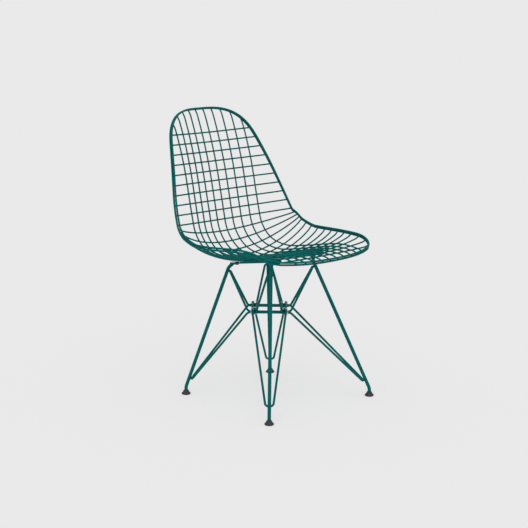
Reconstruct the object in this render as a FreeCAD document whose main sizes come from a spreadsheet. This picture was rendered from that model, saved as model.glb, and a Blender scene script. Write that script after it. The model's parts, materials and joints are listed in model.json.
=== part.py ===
import FreeCAD, Part
import math
import os
import Sketcher

# Wire mesh chair. A dished shell of welded wire stands on four slanting legs, braced by bent rods.
# Millimetres, +Z up, seat front toward -Y, origin on the floor under the middle of the chair.
# Left and right are the sitter's, so left is +X.

Vector = FreeCAD.Vector
Rotation = FreeCAD.Rotation
Placement = FreeCAD.Placement
UP = Vector(0, 0, 1)
LEFT, RIGHT = 1, -1

doc = FreeCAD.newDocument("wire_chair")

# Driving dimensions

SIZES = [
    ("rim_top_y", 281.5, "how far back the middle of the top rim stands"),
    ("rim_top_z", 827.5, "height of the middle of the top rim"),
    ("back_lean", 24.0, "lean of the back at its top, degrees from upright"),
    ("back_curve_length", 230.3, "upper back, gently curved, along the middle line"),
    ("back_curve_angle", 11.0, "degrees by which the upper back straightens"),
    ("back_straight_length", 114.4, "straight stretch above the bend"),
    ("bend_length", 141.6, "bend from the back to the seat"),
    ("bend_angle", 67.9, "degrees turned in the bend"),
    ("seat_curve_length", 79.4, "softer bend at the rear of the seat"),
    ("seat_curve_angle", 21.7, "degrees turned in the softer bend"),
    ("seat_straight_length", 172.8, "straight part of the seat"),
    ("lip_length", 122.6, "curved front"),
    ("lip_angle", 24.6, "degrees by which the front turns down"),
    ("upper_back_from_top", 155.0, "where the upper back is measured"),
    ("lower_back_above_bend", 39.7, "where the lower back is measured"),
    ("upper_bend_in_bend", 45.3, "where the upper bend is measured, from its start"),
    ("lower_bend_in_bend", 6.3, "where the lower bend is measured, up from its end"),
    ("rear_seat_past_curve", 34.3, "where the rear of the seat is measured"),
    ("seat_from_rim", 121.1, "where the seat is measured"),
    ("front_from_rim", 36.1, "where the front is measured"),
    ("top_half_width", 137.8, "half width that the sides aim at on the top rim"),
    ("upper_back_half_width", 187.2, "half width of the upper back"),
    ("lower_back_half_width", 225.1, "half width of the lower back"),
    ("upper_bend_half_width", 237.6, "half width of the upper bend"),
    ("lower_bend_half_width", 241.1, "half width of the lower bend"),
    ("rear_seat_half_width", 242.4, "half width at the rear of the seat"),
    ("seat_half_width", 221.2, "half width of the seat"),
    ("front_half_width", 226.7, "half width that the sides aim at on the front rim"),
    ("top_lift", 19.2, "height of the dish's edge over its middle at the top"),
    ("upper_back_lift", 41.0, "the same at the upper back"),
    ("lower_back_lift", 65.4, "the same at the lower back"),
    ("upper_bend_lift", 83.2, "the same in the upper bend"),
    ("lower_bend_lift", 83.0, "the same in the lower bend"),
    ("rear_seat_lift", 57.4, "the same at the rear of the seat"),
    ("seat_lift", 28.8, "the same at the seat"),
    ("front_lift", 1.7, "the same at the front"),
    ("top_fullness", 0.8, "how far the dish's slope lies near its middle at the top"),
    ("bend_fullness", -0.07, "the same in the bend"),
    ("seat_fullness", -0.33, "the same at the seat, where the sides are steeper"),
    ("top_fan_angle", 8.8, "degrees that the first cross wire is tilted against the middle line"),
    ("bend_fan_angle", -2.3, "the same in the bend"),
    ("front_fan_angle", 14.2, "the same near the front"),
    ("bend_fan_in_bend", 51.3, "where that is measured, up from the end of the bend"),
    ("front_fan_from_rim", 71.1, "where that is measured, from the front rim"),
    ("square_from_rim", 241.1, "where the cross wires are square to the middle line, from the front rim"),
    ("seat_fullness_from_rim", 221.1, "where the fullness of the seat is measured, from the front rim"),
    ("top_corner", 106.5, "length of the rounded corners at the top"),
    ("top_corner_power", 2.95, "fullness of the top corners, 2 is an ellipse"),
    ("front_corner", 119.0, "length of the rounded corners at the front"),
    ("front_corner_power", 2.38, "fullness of the front corners"),
    ("wire_diameter", 4.4, "grid wires"),
    ("rim_diameter", 5.6, "two rim wires"),
    ("weld_gap", 0.1, "play left between pieces that are welded together"),
    ("wire_end_gap", 0.25, "play left between a wire's end and the rims"),
    ("rim_spacing", 6.7, "distance between the middles of the two rim wires"),
    ("long_wire_pitch", 30.35, "spacing of the wires that run from top to front"),
    ("long_wire_count", 10, "wires that run from top to front"),
    ("first_cross_wire", 75.0, "distance of the first cross wire from the top rim"),
    ("cross_wire_count", 25, "cross wires"),
    ("even_height", 20.1, "height over the middle line at which the cross wires are evenly spaced"),
    ("last_cross_wire_margin", 45.6, "distance of the last cross wire from the front rim"),
    ("set_down_length", 18.0, "stretch in which a wire comes to the middle between the rims"),
    ("arc_spacing", 22.0, "distance between the joints of a wire's arcs"),
    ("leg_diameter", 10.1, "legs"),
    ("front_foot_half_spacing", 209.1, "front feet from the middle plane"),
    ("rear_foot_half_spacing", 175.9, "rear feet from the middle plane"),
    ("front_foot_y", -240.5, "front feet"),
    ("rear_foot_y", 143.7, "rear feet"),
    ("leg_end_height", 6.0, "lower end of a leg, inside its glide"),
    ("knee_height", 23.6, "bend above the foot"),
    ("leg_bend_radius", 24.0, "bends of the legs"),
    ("front_leg_top_y", -120.7, "upper end of the front legs"),
    ("rear_leg_top_y", 56.4, "upper end of the rear legs"),
    ("front_neck", 15.0, "height of the bent top of a front leg"),
    ("front_neck_back", 5.0, "bend under a front leg's top, behind the top"),
    ("rear_neck", 10.0, "height of the bent top of a rear leg"),
    ("rear_neck_back", 8.0, "bend under a rear leg's top, behind the top"),
    ("rear_neck_out", 8.0, "bend under a rear leg's top, outward of the top"),
    ("brace_diameter", 6.5, "bracing rods"),
    ("brace_height", 262.0, "level stretch of the lower pair of crossing rods"),
    ("brace_half_length", 62.0, "half of a brace's level stretch"),
    ("lower_brace_half_gap", 49.0, "half of the gap between the rods of a lower brace"),
    ("upper_brace_half_gap", 37.0, "half of the gap between the rods of an upper brace"),
    ("crossing_set_back", 4.9, "crossing of the braces, behind the lines between opposite feet"),
    ("lower_hoop_half_width", 11.0, "half width of a lower brace's hoop that is welded to a leg"),
    ("upper_hoop_half_width", 9.0, "half width of an upper brace's hoop"),
    ("brace_bend_radius", 14.0, "bends beside the level stretch"),
    ("lower_hoop_height", 51.0, "weld of the lower braces on the legs"),
    ("front_hoop_drop", 32.0, "weld of the upper braces on the front legs, below the rail"),
    ("rear_hoop_drop", 18.5, "weld of the upper braces on the rear legs, below the rail"),
    ("plug_play", 0.1, "rubber plug beside the rods"),
    ("clip_diameter", 1.5, "spring wire of the crossing clips"),
    ("clip_play", 0.4, "crossing clip beside the rods"),
    ("clip_corner_radius", 2.5, "corners of a crossing clip"),
    ("clip_headroom", 3.4, "crossing clip above and below the rods"),
    ("rail_front_half_spacing", 85.2, "front mounting screws from the middle plane, at the shell"),
    ("rail_rear_half_spacing", 73.0, "rear mounting screws from the middle plane, at the shell"),
    ("rail_width", 12.0, "mounting rail"),
    ("front_stack", 12.0, "grid over the underside of the rails, at the front plates"),
    ("rear_stack", 7.0, "the same at the rear plates"),
    ("rail_play", 0.3, "play left between the top of a rail and the grid"),
    ("plate_notch_play", 1.0, "play before and behind a plate in its rail's notch"),
    ("rail_front_end", 12.0, "rail in front of its front screw"),
    ("rail_rear_end", 5.2, "rail behind its rear leg"),
    ("screw_advance", 21.5, "screw in front of each leg's top"),
    ("plate_length", 40.0, "plate welded under the shell"),
    ("plate_width", 20.0, "plate welded under the shell"),
    ("plate_thickness", 1.6, "plate welded under the shell"),
    ("washer_diameter", 12.0, "rubber washer"),
    ("washer_thickness", 1.0, "rubber washer"),
    ("screw_diameter", 6.0, "mounting screw"),
    ("screw_play", 0.2, "play around the screw"),
    ("screw_head_diameter", 10.5, "mounting screw"),
    ("screw_head_height", 3.0, "mounting screw"),
    ("screw_head_bevel", 1.0, "bevelled edge of the head"),
    ("screw_socket", 4.6, "hexagon socket, across its corners"),
    ("screw_socket_depth", 1.8, "hexagon socket"),
    ("glide_diameter", 27.0, "glide"),
    ("glide_height", 13.0, "glide"),
    ("glide_rim_height", 5.0, "straight edge of the glide"),
    ("glide_bevel", 1.2, "bevel under the glide"),
    ("glide_neck_diameter", 14.5, "top of the glide, around the leg"),
    ("glide_play", 0.1, "play around the leg in its glide"),
]

sheet = doc.addObject("Spreadsheet::Sheet", "Sizes")
for row, (alias, value, note) in enumerate(SIZES, start=1):
    sheet.set(f"A{row}", alias.replace("_", " "))
    sheet.set(f"B{row}", str(value))
    sheet.set(f"C{row}", note)
    sheet.setAlias(f"B{row}", alias)
doc.recompute()
size = {alias: float(sheet.get(alias)) for alias, value, note in SIZES}

finished = {}


def keep(obj, name):
    """Label a finished sub-part; the label is also its file's name."""
    obj.Label = name
    finished[name] = obj
    return obj


def bind(obj, **expressions):
    """Bind properties to the sheet, with the aliases written as plain words."""
    for prop, expression in expressions.items():
        for alias in sorted(size, key=len, reverse=True):
            expression = expression.replace(f"<{alias}>", f"{sheet.Name}.{alias}")
        obj.setExpression(prop, expression)
    return obj


# Paths of straight runs and tangent arcs

def arc_from(start, tangent, end):
    """The arc that leaves start along tangent and reaches end, or a line where that is straight."""
    chord = end - start
    along = Vector(chord).normalize()
    sideways = tangent - along * tangent.dot(along)
    if sideways.Length < 1e-4:
        return Part.LineSegment(start, end).toShape()
    half_turn = math.atan2(sideways.Length, tangent.dot(along))
    bulge = sideways.normalize() * (chord.Length / 2 * math.tan(half_turn / 2))
    return Part.Arc(start, start + chord * 0.5 + bulge, end).toShape()


def two_arcs(start, leaving, end, arriving):
    """Two arcs, tangent where they meet, between two points with given directions."""
    gap = end - start
    both = leaving + arriving
    closing = 2 * (1 - leaving.dot(arriving))
    if closing < 1e-9:
        reach = gap.dot(gap) / (4 * gap.dot(arriving))
    else:
        reach = (math.sqrt(gap.dot(both) ** 2 + closing * gap.dot(gap)) - gap.dot(both)) / closing
    joint = (start + leaving * reach + end - arriving * reach) * 0.5
    along = (joint - start).normalize()
    passing = along * (2 * leaving.dot(along)) - leaving
    return [arc_from(start, leaving, joint), arc_from(joint, passing, end)]


def arc_chain(points, tangents, closed=False):
    """A smooth chain of arcs through points with given directions."""
    ends = list(zip(points, tangents))
    if closed:
        ends.append(ends[0])
    edges = []
    for (start, leaving), (end, arriving) in zip(ends, ends[1:]):
        edges += two_arcs(start, leaving, end, arriving)
    return edges


def rounded_path(corners, radii, closed=False):
    """Straight runs between corners, rounded with arcs that never use more than half of a run."""
    count = len(corners)
    turned = range(count) if closed else range(1, count - 1)
    trimmed = {}
    for n in turned:
        back = corners[n - 1] - corners[n]
        ahead = corners[(n + 1) % count] - corners[n]
        half_turn = (math.pi - back.getAngle(ahead)) / 2
        reach = min(radii[n] * math.tan(half_turn), 0.49 * min(back.Length, ahead.Length))
        entry = corners[n] + back.normalize() * reach
        exit_point = corners[n] + ahead.normalize() * reach
        trimmed[n] = (entry, exit_point)
    edges = []
    last = trimmed[count - 1][1] if closed else corners[0]
    for n in turned:
        entry, exit_point = trimmed[n]
        edges.append(Part.LineSegment(last, entry).toShape())
        edges.append(arc_from(entry, (entry - last).normalize(), exit_point))
        last = exit_point
    if not closed:
        edges.append(Part.LineSegment(last, corners[-1]).toShape())
    return edges


def rod(name, edges, diameter):
    """A round rod along a path; its section is bound to the diameter in the sheet."""
    path = doc.addObject("Part::Feature", f"{name}_path")
    path.Shape = Part.Wire(edges)
    first = edges[0]
    start = first.valueAt(first.FirstParameter)
    direction = first.tangentAt(first.FirstParameter)
    section = doc.addObject("Part::Circle", f"{name}_section")
    bind(section, Radius=f"<{diameter}> / 2")
    section.Placement = Placement(start, Rotation(UP, direction))
    sweep = doc.addObject("Part::Sweep", name)
    sweep.Sections = [section]
    sweep.Spine = (path, [])
    sweep.Solid = True
    return sweep


def group(name, members):
    """Like solids kept together in one sub-part."""
    compound = doc.addObject("Part::Compound", name)
    compound.Links = members
    return keep(compound, name)


# Surface of the shell, by station along its middle line and distance across

SPANS = [
    (size["back_curve_length"], size["back_curve_angle"]),
    (size["back_straight_length"], 0),
    (size["bend_length"], -size["bend_angle"]),
    (size["seat_curve_length"], -size["seat_curve_angle"]),
    (size["seat_straight_length"], 0),
    (size["lip_length"], size["lip_angle"]),
]
SHELL_LENGTH = sum(length for length, turn in SPANS)
BACK_LENGTH = size["back_curve_length"] + size["back_straight_length"]
BEND_END = BACK_LENGTH + size["bend_length"]
STATIONS = [
    0,
    size["upper_back_from_top"],
    BACK_LENGTH - size["lower_back_above_bend"],
    BACK_LENGTH + size["upper_bend_in_bend"],
    BEND_END - size["lower_bend_in_bend"],
    BEND_END + size["seat_curve_length"] + size["rear_seat_past_curve"],
    SHELL_LENGTH - size["seat_from_rim"],
    SHELL_LENGTH - size["front_from_rim"],
]
PLACES = ["top", "upper_back", "lower_back", "upper_bend", "lower_bend", "rear_seat", "seat", "front"]
HALF_WIDTHS = [size[f"{place}_half_width"] for place in PLACES]
LIFTS = [size[f"{place}_lift"] for place in PLACES]
FULLNESS_STATIONS = [0, BEND_END - size["bend_fan_in_bend"], SHELL_LENGTH - size["seat_fullness_from_rim"]]
FULLNESSES = [size[f"{place}_fullness"] for place in ("top", "bend", "seat")]
FAN_STATIONS = [
    size["first_cross_wire"],
    BEND_END - size["bend_fan_in_bend"],
    SHELL_LENGTH - size["square_from_rim"],
    SHELL_LENGTH - size["front_fan_from_rim"],
]
FANS = [math.radians(angle) for angle in (size["top_fan_angle"], size["bend_fan_angle"], 0,
                                          size["front_fan_angle"])]


def smooth(at, stations, values):
    """Smooth curve through values at stations, level with the end values beyond them."""
    at = min(max(at, stations[0]), stations[-1])
    steps = [b - a for a, b in zip(stations, stations[1:])]
    slopes = [(b - a) / step for a, b, step in zip(values, values[1:], steps)]
    tangents = [slopes[0]]
    for n in range(1, len(steps)):
        total = steps[n] + steps[n - 1]
        tangents.append((slopes[n - 1] * steps[n] + slopes[n] * steps[n - 1]) / total)
    tangents.append(slopes[-1])
    n = max(k for k in range(len(steps)) if stations[k] <= at)
    t = (at - stations[n]) / steps[n]
    from_values = values[n] * (1 - t) ** 2 * (1 + 2 * t) + values[n + 1] * t ** 2 * (3 - 2 * t)
    from_tangents = tangents[n] * t * (1 - t) ** 2 - tangents[n + 1] * t ** 2 * (1 - t)
    return from_values + from_tangents * steps[n]


def where(rising, low, high):
    """The place between low and high where a rising function passes zero."""
    for halving in range(40):
        middle = (low + high) / 2
        if rising(middle) < 0:
            low = middle
        else:
            high = middle
    return (low + high) / 2


def middle_line(station):
    """Y, Z and direction of the middle line, at a distance along it from the top rim."""
    y = size["rim_top_y"]
    z = size["rim_top_z"]
    angle = -math.radians(90 + size["back_lean"])
    left = station
    for length, turn in SPANS:
        run = min(left, length)
        bend = math.radians(turn) * run / length
        chord = run * math.sin(bend / 2) / (bend / 2) if bend else run
        y += chord * math.cos(angle + bend / 2)
        z += chord * math.sin(angle + bend / 2)
        angle += bend
        left -= run
    return y + left * math.cos(angle), z + left * math.sin(angle), angle


def half_width(station):
    """Half width of the dish, before its corners are rounded."""
    return smooth(station, STATIONS, HALF_WIDTHS)


def corner(share, power):
    """Share of the width that is left at a share of a rounded corner's length."""
    if share >= 1:
        return 1
    return (1 - (1 - max(share, 0)) ** power) ** (1 / power)


def edge(station):
    """Distance from the middle plane to the rim."""
    top = corner(station / size["top_corner"], size["top_corner_power"])
    front = corner((SHELL_LENGTH - station) / size["front_corner"], size["front_corner_power"])
    return half_width(station) * top * front


def shell_point(station, across):
    """Point on the middle surface of the shell."""
    y, z, angle = middle_line(station)
    tilted = angle + smooth(station, FAN_STATIONS, FANS)
    share = (across / half_width(station)) ** 2
    fullness = smooth(station, FULLNESS_STATIONS, FULLNESSES)
    rise = smooth(station, STATIONS, LIFTS) * share * (1 + fullness * (1 - share))
    return Vector(across, y + rise * math.sin(tilted), z - rise * math.cos(tilted))


def shell_normal(station, across):
    """Direction square to the shell, toward the sitter."""
    along = shell_point(station + 0.5, across) - shell_point(station - 0.5, across)
    sideways = shell_point(station, across + 0.5) - shell_point(station, across - 0.5)
    return along.cross(sideways).normalize()


def raised(station, across, height):
    """Point at a height over the middle surface, toward the sitter."""
    return shell_point(station, across) + shell_normal(station, across) * height


# Two rim wires, one over and one under the middle surface

RIM_RAISE = size["rim_spacing"] / 2


def edge_places():
    """Places close together round the whole edge, from the middle of the top and back to it."""
    steps = 80
    front_start = SHELL_LENGTH - size["front_corner"]
    right_angle = math.pi / 2
    stations = []
    for n in range(steps):
        share = 1 - math.cos(right_angle * n / steps) ** (2 / size["top_corner_power"])
        stations.append(size["top_corner"] * share)
    for n in range(3 * steps):
        stations.append(size["top_corner"] + (front_start - size["top_corner"]) * n / (3 * steps))
    for n in range(steps + 1):
        share = 1 - math.sin(right_angle * n / steps) ** (2 / size["front_corner_power"])
        stations.append(SHELL_LENGTH - size["front_corner"] * share)
    one_side = [(station, edge(station)) for station in stations]
    other_side = [(station, -across) for station, across in reversed(one_side[:-1])]
    return one_side + other_side


rim_lines = []


def rim(name, height):
    """A closed rim wire at a height over the middle surface."""
    places = edge_places()
    points = [raised(*place, height) for place in places]
    rim_lines.append(points)
    travelled = [0]
    for a, b in zip(points, points[1:]):
        travelled.append(travelled[-1] + (b - a).Length)
    total = travelled[-1]

    def at(distance):
        distance %= total
        n = max(k for k in range(len(places) - 1) if travelled[k] <= distance)
        share = (distance - travelled[n]) / (travelled[n + 1] - travelled[n])
        (s0, x0), (s1, x1) = places[n], places[n + 1]
        return raised(s0 + (s1 - s0) * share, x0 + (x1 - x0) * share, height)

    count = 2 * round(total / size["arc_spacing"] / 2)
    nodes = [total * n / count for n in range(count)]
    tangents = [(at(node + 2) - at(node - 2)).normalize() for node in nodes]
    edges = arc_chain([at(node) for node in nodes], tangents, closed=True)
    return keep(rod(name, edges, "rim_diameter"), name)


rim("upper_rim_wire", RIM_RAISE)
rim("lower_rim_wire", -RIM_RAISE)


# Grid: long wires on the sitter's side, cross wires behind them

WIRE_RAISE = (size["wire_diameter"] + size["weld_gap"]) / 2


def evened(station):
    """Length along the shell at the height where the cross wires are evenly spaced."""
    total = 0
    left = station
    for length, turn in SPANS:
        run = min(left, length)
        curvature = math.radians(min(turn, 0)) / length
        total += run * (1 + curvature * size["even_height"])
        left -= run
    return total


def cross_wire_stations():
    """Stations of the cross wires, from the top."""
    first = evened(size["first_cross_wire"])
    last = evened(SHELL_LENGTH - size["last_cross_wire_margin"])
    count = round(size["cross_wire_count"])
    targets = [first + (last - first) * n / (count - 1) for n in range(count)]
    return [where(lambda s: evened(s) - target, 0, SHELL_LENGTH) for target in targets]


def end_place(place, crossing, inward):
    """Where a wire's round end just stands off the rims, inward of its crossing with the edge."""
    middle = shell_point(*place(crossing))
    reach = 2 * (size["rim_diameter"] + size["wire_diameter"])
    stretches = [(a, b) for line in rim_lines for a, b in zip(line, line[1:]) if (a - middle).Length < reach]
    around = [Vector(math.cos(turn), math.sin(turn), 0) * (size["wire_diameter"] / 2)
              for turn in (math.pi * n / 6 for n in range(12))]

    def play(depth):
        at = crossing + inward * depth
        centre = shell_point(*place(at))
        facing = Rotation(UP, shell_point(*place(at + 0.5)) - shell_point(*place(at - 0.5)))
        points = [centre + facing.multVec(spot) for spot in around]
        nearest = min(point.distanceToLineSegment(a, b).Length for point in points for a, b in stretches)
        return nearest - size["rim_diameter"] / 2 - size["wire_end_gap"]

    return crossing + inward * where(play, 0, reach / 2)


def grid_wire(name, place, low, high, crossings, height):
    """A wire laid on one side of the shell between two crossings of the edge, its ends against the rims."""
    start = end_place(place, low, 1)
    stop = end_place(place, high, -1)
    crossed = [c for c in crossings if start < c < stop]
    first = start + min(size["set_down_length"], crossed[0] - start)
    last = stop - min(size["set_down_length"], stop - crossed[-1])
    count = max(1, round((last - first) / size["arc_spacing"]))
    inner = [first + (last - first) * n / count for n in range(count + 1)]
    points = []
    tangents = []
    for at, lift in [(start, 0)] + [(at, height) for at in inner] + [(stop, 0)]:
        points.append(raised(*place(at), lift))
        tangents.append((raised(*place(at + 0.5), lift) - raised(*place(at - 0.5), lift)).normalize())
    return keep(rod(name, arc_chain(points, tangents), "wire_diameter"), name)


cross_stations = cross_wire_stations()
long_count = round(size["long_wire_count"])
long_places = [size["long_wire_pitch"] * (n - (long_count - 1) / 2) for n in range(long_count)]

for number, across in enumerate(long_places, start=1):
    middle = SHELL_LENGTH / 2
    low = where(lambda s: edge(s) - abs(across), 0, middle)
    high = where(lambda s: abs(across) - edge(s), middle, SHELL_LENGTH)
    name = f"longitudinal_wire_{number:02d}"
    grid_wire(name, lambda at: (at, across), low, high, cross_stations, WIRE_RAISE)

for number, station in enumerate(cross_stations, start=1):
    reach = edge(station)
    grid_wire(f"cross_wire_{number:02d}", lambda at: (station, at), -reach, reach, long_places, -WIRE_RAISE)


# Mounting rails under the shell

GRID_DEPTH = size["wire_diameter"] + size["weld_gap"] / 2


def mirrored(vector, side):
    """The vector on one side of the chair; it is worked out on the left."""
    return Vector(vector.x * side, vector.y, vector.z)


def rail_axes():
    """A left rail's underside at its two screws, and its directions along and square to itself."""
    places = []
    for end in ("front", "rear"):
        across = size[f"rail_{end}_half_spacing"]
        screw_y = size[f"{end}_leg_top_y"] - size["screw_advance"]
        places.append((where(lambda s: screw_y - shell_point(s, across).y, 0, SHELL_LENGTH), across))
    on_shell = [shell_point(*place) for place in places]
    square = shell_normal(*places[0]) + shell_normal(*places[1])
    low = list(on_shell)
    for attempt in range(4):
        along = (low[1] - low[0]).normalize()
        normal = (square - along * square.dot(along)).normalize()
        for n, (station, across) in enumerate(places):
            lowest = min(
                raised(station + u * size["plate_length"] / 2, across + v * size["plate_width"] / 2,
                       -GRID_DEPTH).dot(normal)
                for u in (-1, -0.5, 0, 0.5, 1)
                for v in (-1, 0, 1)
            )
            drop = size["weld_gap"] + STACKS[n] + on_shell[n].dot(normal)
            low[n] = on_shell[n] + normal * (lowest - drop)
    return low, along, normal


STACKS = [size["front_stack"], size["rear_stack"]]
screw_feet, rail_along, rail_normal = rail_axes()
SCREW_SPAN = (screw_feet[1] - screw_feet[0]).Length


def rail_placement(side, along=0, height=0):
    """Frame under a rail: X along it to the rear, Z square to it, origin under its front screw."""
    x_axis = mirrored(rail_along, side)
    z_axis = mirrored(rail_normal, side)
    start = mirrored(screw_feet[0], side) + x_axis * along + z_axis * height
    return Placement(start, Rotation(x_axis, Vector(), z_axis, "ZXY"))


def under_rail(side, along):
    """Point in the middle of a rail's underside."""
    return rail_placement(side, along).Base


def cylinder(name, placement, radius, height):
    """A cylinder bound to the sheet."""
    obj = doc.addObject("Part::Cylinder", name)
    bind(obj, Radius=radius, Height=height)
    obj.Placement = placement
    return obj


def cone(name, placement, low_radius, high_radius, height):
    """A cone bound to the sheet."""
    obj = doc.addObject("Part::Cone", name)
    bind(obj, Radius1=low_radius, Radius2=high_radius, Height=height)
    obj.Placement = placement
    return obj


def fused(name, members):
    """Overlapping solids made into one."""
    obj = doc.addObject("Part::MultiFuse", name)
    obj.Shapes = members
    obj.Refine = True
    return obj


def cut(name, base, tool):
    """One solid cut with another."""
    obj = doc.addObject("Part::Cut", name)
    obj.Base = base
    obj.Tool = tool
    return obj


def grid_room(along):
    """Height of the grid over a left rail's underside, at a distance along the rail."""
    rooms = []
    for aside in (-0.5, 0, 0.5):
        foot = rail_placement(LEFT, along).multVec(Vector(0, aside * size["rail_width"], 0))
        across = foot.x
        station = where(lambda s: foot.y - shell_point(s, across).y, 0, SHELL_LENGTH)
        for attempt in range(20):
            gap = shell_point(station, across) - foot
            height = gap.dot(rail_normal)
            missed = gap - rail_normal * height
            station += missed.y
            across -= missed.x
        rooms.append(height - GRID_DEPTH)
    return min(rooms)


RAIL_HEIGHTS = [stack - size["plate_thickness"] - size["washer_thickness"] for stack in STACKS]


def rail_outline():
    """Side view of a rail: flat below, its top close under the grid and notched for the two plates."""
    notch = size["plate_length"] / 2 + size["plate_notch_play"]
    start = -size["rail_front_end"]
    stop = SCREW_SPAN + size["screw_advance"] + size["rail_rear_end"]
    between = [notch + (SCREW_SPAN - 2 * notch) * n / 5 for n in range(6)]
    top = [(start, RAIL_HEIGHTS[0]), (notch, RAIL_HEIGHTS[0])]
    top += [(along, grid_room(along) - size["rail_play"]) for along in between]
    top += [(along, RAIL_HEIGHTS[1]) for along in (SCREW_SPAN - notch, stop)]
    return [(start, 0)] + top + [(stop, 0)]


def origin_plane(body, role):
    """One of a body's own origin planes."""
    return next(plane for plane in body.Origin.OriginFeatures if plane.Role == role)


def mounting_rail(name, side):
    """A bar on edge under the grid, with a screw hole at each plate."""
    body = doc.addObject("PartDesign::Body", f"{name}_body")
    sketch = body.newObject("Sketcher::SketchObject", f"{name}_outline")
    sketch.AttachmentSupport = (origin_plane(body, "XZ_Plane"), "")
    sketch.MapMode = "FlatFace"
    corners = [Vector(along, height, 0) for along, height in rail_outline()]
    count = len(corners)
    for n in range(count):
        sketch.addGeometry(Part.LineSegment(corners[n], corners[(n + 1) % count]), False)
    for n in range(count):
        sketch.addConstraint(Sketcher.Constraint("Coincident", n, 2, (n + 1) % count, 1))
    sketch.addConstraint(Sketcher.Constraint("DistanceX", 0, 1, -1, 1, size["rail_front_end"]))
    sketch.setExpression(f"Constraints[{sketch.ConstraintCount - 1}]", f"{sheet.Name}.rail_front_end")
    bar = body.newObject("PartDesign::Pad", f"{name}_bar")
    bar.Profile = sketch
    bar.Midplane = True
    bind(bar, Length="<rail_width>")
    body.Tip = bar
    body.Placement = rail_placement(side)
    holes = [
        cylinder(f"{name}_hole_{number}", rail_placement(side, along), "<screw_diameter> / 2 + <screw_play>",
                 "<front_stack>")
        for number, along in enumerate((0, SCREW_SPAN), start=1)
    ]
    return keep(cut(name, body, fused(f"{name}_holes", holes)), name)


mounting_rail("mounting_rail_left", LEFT)
mounting_rail("mounting_rail_right", RIGHT)

SCREWS = [
    (side, along, height)
    for side in (LEFT, RIGHT)
    for along, height in zip((0, SCREW_SPAN), RAIL_HEIGHTS)
]


def shell_plate(number, side, along, rail_height):
    """A small plate welded under the grid, with a hole for the screw."""
    name = f"shell_plate_{number}"
    height = rail_height + size["washer_thickness"]
    slab = doc.addObject("Part::Box", f"{name}_slab")
    bind(slab, Length="<plate_length>", Width="<plate_width>", Height="<plate_thickness>")
    shift = Placement(Vector(-size["plate_length"] / 2, -size["plate_width"] / 2, 0), Rotation())
    slab.Placement = rail_placement(side, along, height) * shift
    hole = cylinder(
        f"{name}_hole",
        rail_placement(side, along, height),
        "<screw_diameter> / 2 + <screw_play>",
        "<plate_thickness>",
    )
    return cut(name, slab, hole)


def rubber_washer(number, side, along, rail_height):
    """A rubber washer between a plate and its rail."""
    name = f"rubber_washer_{number}"
    place = rail_placement(side, along, rail_height)
    disc = cylinder(f"{name}_disc", place, "<washer_diameter> / 2", "<washer_thickness>")
    hole = cylinder(f"{name}_hole", place, "<screw_diameter> / 2 + <screw_play>", "<washer_thickness>")
    return cut(name, disc, hole)


def mounting_screw(number, side, along, rail_height):
    """A screw with a bevelled head and a hexagon socket, driven from below."""
    name = f"mounting_screw_{number}"
    bevel = size["screw_head_bevel"]
    stack = "front_stack" if along == 0 else "rear_stack"
    shank = cylinder(f"{name}_shank", rail_placement(side, along), "<screw_diameter> / 2", f"<{stack}>")
    head_low = -size["screw_head_height"]
    edge_cone = cone(f"{name}_bevel", rail_placement(side, along, head_low),
                     "<screw_head_diameter> / 2 - <screw_head_bevel>", "<screw_head_diameter> / 2",
                     "<screw_head_bevel>")
    head = cylinder(f"{name}_head", rail_placement(side, along, head_low + bevel),
                    "<screw_head_diameter> / 2", "<screw_head_height> - <screw_head_bevel>")
    socket = doc.addObject("Part::Prism", f"{name}_socket")
    bind(socket, Circumradius="<screw_socket> / 2", Height="<screw_socket_depth>")
    socket.Placement = rail_placement(side, along, head_low)
    return cut(name, fused(f"{name}_blank", [shank, edge_cone, head]), socket)


for label, make in (
    ("shell_mounting_plates", shell_plate),
    ("rubber_washers", rubber_washer),
    ("mounting_screws", mounting_screw),
):
    group(label, [make(number, *place) for number, place in enumerate(SCREWS, start=1)])


# Legs and glides

def leg_corners(side, end):
    """Corners of a leg's path: foot, knee, neck and top."""
    foot_x = side * size[f"{end}_foot_half_spacing"]
    foot_y = size[f"{end}_foot_y"]
    along = size["screw_advance"] + (SCREW_SPAN if end == "rear" else 0)
    top = under_rail(side, along)
    out = size["rear_neck_out"] if end == "rear" else 0
    bend = Vector(side * out, size[f"{end}_neck_back"], -size[f"{end}_neck"])
    return [
        Vector(foot_x, foot_y, size["leg_end_height"]),
        Vector(foot_x, foot_y, size["knee_height"]),
        top + bend,
        top,
    ]


def leg(name, side, end):
    """A rod bent above its glide and below its rail, cut flush with the rail's underside."""
    corners = leg_corners(side, end)
    corners[-1] = corners[-1] + UP * size["leg_diameter"]
    radii = [size["leg_bend_radius"]] * len(corners)
    blank = rod(f"{name}_blank", rounded_path(corners, radii), "leg_diameter")
    trim = doc.addObject("Part::Box", f"{name}_trim")
    bind(trim, Length="4 * <leg_diameter>", Width="4 * <leg_diameter>", Height="4 * <leg_diameter>")
    along = size["screw_advance"] + (SCREW_SPAN if end == "rear" else 0)
    half = 2 * size["leg_diameter"]
    shift = Placement(Vector(-half, -half, 0), Rotation())
    trim.Placement = rail_placement(side, along, -size["weld_gap"]) * shift
    return keep(cut(name, blank, trim), name)


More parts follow.
